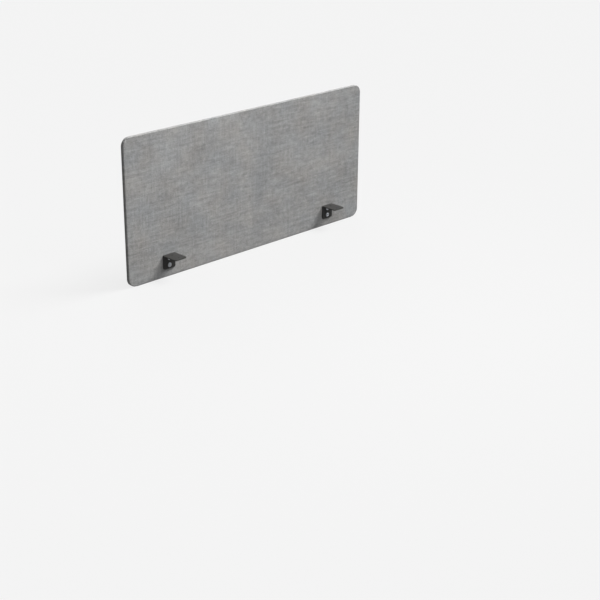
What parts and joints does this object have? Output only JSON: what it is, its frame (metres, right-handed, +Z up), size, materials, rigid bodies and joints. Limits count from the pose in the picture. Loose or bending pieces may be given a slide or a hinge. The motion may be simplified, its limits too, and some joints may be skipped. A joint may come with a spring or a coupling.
{
  "type": "desk privacy panel",
  "caption": "Upright fabric-covered screen with rounded corners that stands behind a desk's rear edge on angle brackets fixed under the tabletop, for privacy and sound absorption.",
  "frame": {"origin": "centre of the four desk screw holes, on the plane where the tabletop's underside rests on the brackets", "axes": "+X to the right along the panel's width as the user sees it, +Y from the user's side to the far side, +Z up"},
  "size_m": [1.3, 0.093, 0.6],
  "materials": {
    "cover_fabric": "woven grey melange, matte",
    "wadding": "thin white needle felt",
    "acoustic_board": "pressed fibre board",
    "frame_wood": "planed, unfinished pine",
    "block_plywood": "birch plywood, sawn edges",
    "dowel_beech": "plain beech",
    "spline_cord": "extruded, matte",
    "bottom_strip": "black nonwoven strip",
    "staple_steel": "zinc-plated wire",
    "bracket_paint": "fine-textured black powder coat",
    "fastener_zinc": "bright zinc plate",
    "bush_nylon": "black nylon"
  },
  "bodies": {
    "root": {"back_fabric": "cover_fabric", "back_padding": "wadding", "bottom_staples": "staple_steel", "bottom_strip": "bottom_strip", "bracket_left": "bracket_paint", "bracket_right": "bracket_paint", "bracket_screws": "fastener_zinc", "bracket_washers": "fastener_zinc", "edge_spline": "spline_cord", "frame_bottom_rail": "frame_wood", "frame_dowels": "dowel_beech", "frame_left_mullion": "frame_wood", "frame_left_stile": "frame_wood", "frame_right_mullion": "frame_wood", "frame_right_stile": "frame_wood", "frame_top_rail": "frame_wood", "front_fabric": "cover_fabric", "front_padding": "wadding", "infill_centre": "acoustic_board", "infill_left": "acoustic_board", "infill_right": "acoustic_board", "mounting_block_left": "block_plywood", "mounting_block_right": "block_plywood", "spacer_bushes": "bush_nylon", "tee_nuts": "fastener_zinc"}
  },
  "joints": []
}
